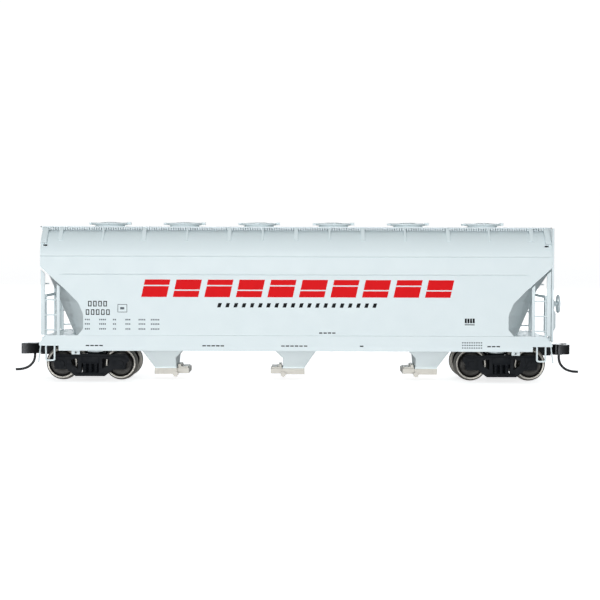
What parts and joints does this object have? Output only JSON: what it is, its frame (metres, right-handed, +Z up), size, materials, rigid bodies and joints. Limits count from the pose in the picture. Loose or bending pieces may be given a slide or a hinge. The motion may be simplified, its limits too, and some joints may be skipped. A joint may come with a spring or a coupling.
{
  "type": "model hopper car",
  "caption": "HO scale model of a curved-side covered hopper car: hollow shell with hatches and gates, swivelling trucks with spinning wheelsets, sprung knuckle couplers.",
  "frame": {"origin": "on the surface below the wheels, midway between the couplers and on the car's centreline", "axes": "+X along the car towards the brake wheel end, +Y across it, +Z up"},
  "size_m": [0.2004, 0.0374, 0.0553],
  "materials": {
    "body_paint": "pale blue-grey satin paint on moulded plastic",
    "outlet_plastic": "unpainted warm grey moulded plastic",
    "black_plastic": "near-black moulded engineering plastic, slightly satin",
    "coupler_casting": "blackened die casting",
    "trip_pin_wire": "blackened soft-iron wire",
    "axle_steel": "darkened turned steel",
    "wheel_metal": "turned metal, darkened face and bright tread",
    "screw_steel": "plain steel screw",
    "ballast_steel": "plain steel plate",
    "etched_metal": "etched sheet painted to match the body"
  },
  "bodies": {
    "car_body": {"body_shell": "body_paint", "underframe": "body_paint", "ballast_weight": "ballast_steel", "hopper_bay_1": "body_paint", "hopper_bay_2": "body_paint", "hopper_bay_3": "body_paint", "outlet_gate_1": "outlet_plastic", "outlet_gate_2": "outlet_plastic", "outlet_gate_3": "outlet_plastic", "hatch_cover_1": "body_paint", "hatch_cover_2": "body_paint", "hatch_cover_3": "body_paint", "hatch_cover_4": "body_paint", "hatch_cover_5": "body_paint", "hatch_cover_6": "body_paint", "running_board_near": "etched_metal", "running_board_far": "etched_metal", "brake_wheel": "body_paint", "brake_housing": "body_paint", "air_reservoir": "body_paint", "brake_cylinder": "body_paint", "control_valve": "body_paint", "end_ladder_a": "body_paint", "side_ladder_a_left": "body_paint", "side_ladder_a_right": "body_paint", "stirrup_step_a_left": "body_paint", "stirrup_step_a_right": "body_paint", "coupler_box_a": "black_plastic", "coupler_lid_a": "black_plastic", "coupler_screw_a": "screw_steel", "truck_screw_a": "screw_steel", "end_ladder_b": "body_paint", "side_ladder_b_left": "body_paint", "side_ladder_b_right": "body_paint", "stirrup_step_b_left": "body_paint", "stirrup_step_b_right": "body_paint", "coupler_box_b": "black_plastic", "coupler_lid_b": "black_plastic", "coupler_screw_b": "screw_steel", "truck_screw_b": "screw_steel"},
    "truck_a": {"truck_frame_a": "black_plastic"},
    "wheelset_a1": {"axle_a1": "axle_steel", "wheel_a1_near": "wheel_metal", "wheel_a1_far": "wheel_metal"},
    "wheelset_a2": {"axle_a2": "axle_steel", "wheel_a2_near": "wheel_metal", "wheel_a2_far": "wheel_metal"},
    "coupler_a": {"coupler_shank_a": "coupler_casting"},
    "knuckle_a": {"knuckle_a": "coupler_casting", "trip_pin_a": "trip_pin_wire"},
    "truck_b": {"truck_frame_b": "black_plastic"},
    "wheelset_b1": {"axle_b1": "axle_steel", "wheel_b1_near": "wheel_metal", "wheel_b1_far": "wheel_metal"},
    "wheelset_b2": {"axle_b2": "axle_steel", "wheel_b2_near": "wheel_metal", "wheel_b2_far": "wheel_metal"},
    "coupler_b": {"coupler_shank_b": "coupler_casting"},
    "knuckle_b": {"knuckle_b": "coupler_casting", "trip_pin_b": "trip_pin_wire"}
  },
  "joints": [
    {"name": "truck_a_swivel", "type": "hinge", "parent": "car_body", "child": "truck_a", "pos_m": [-0.07135, 0, 0.0091], "axis": [0, 0, 1], "range_deg": [-12, 12]},
    {"name": "wheelset_a1_spin", "type": "hinge", "parent": "truck_a", "child": "wheelset_a1", "pos_m": [-0.08155, 0, 0.0059], "axis": [0, 1, 0], "continuous": true},
    {"name": "wheelset_a2_spin", "type": "hinge", "parent": "truck_a", "child": "wheelset_a2", "pos_m": [-0.06115, 0, 0.0059], "axis": [0, 1, 0], "continuous": true},
    {"name": "coupler_a_swing", "type": "hinge", "parent": "car_body", "child": "coupler_a", "pos_m": [-0.084, 0, 0.01056], "axis": [0, 0, 1], "range_deg": [-10, 10], "stiffness_Nm_per_rad": 0.0005},
    {"name": "knuckle_a_open", "type": "hinge", "parent": "coupler_a", "child": "knuckle_a", "pos_m": [-0.0933, 0.0019, 0.01056], "axis": [0, 0, -1], "range_deg": [0, 30], "stiffness_Nm_per_rad": 0.0003, "springref_deg": -11.46},
    {"name": "truck_b_swivel", "type": "hinge", "parent": "car_body", "child": "truck_b", "pos_m": [0.07135, 0, 0.0091], "axis": [0, 0, 1], "range_deg": [-12, 12]},
    {"name": "wheelset_b1_spin", "type": "hinge", "parent": "truck_b", "child": "wheelset_b1", "pos_m": [0.06115, 0, 0.0059], "axis": [0, 1, 0], "continuous": true},
    {"name": "wheelset_b2_spin", "type": "hinge", "parent": "truck_b", "child": "wheelset_b2", "pos_m": [0.08155, 0, 0.0059], "axis": [0, 1, 0], "continuous": true},
    {"name": "coupler_b_swing", "type": "hinge", "parent": "car_body", "child": "coupler_b", "pos_m": [0.084, 0, 0.01056], "axis": [0, 0, 1], "range_deg": [-10, 10], "stiffness_Nm_per_rad": 0.0005},
    {"name": "knuckle_b_open", "type": "hinge", "parent": "coupler_b", "child": "knuckle_b", "pos_m": [0.0933, -0.0019, 0.01056], "axis": [0, 0, -1], "range_deg": [0, 30], "stiffness_Nm_per_rad": 0.0003, "springref_deg": -11.46}
  ]
}
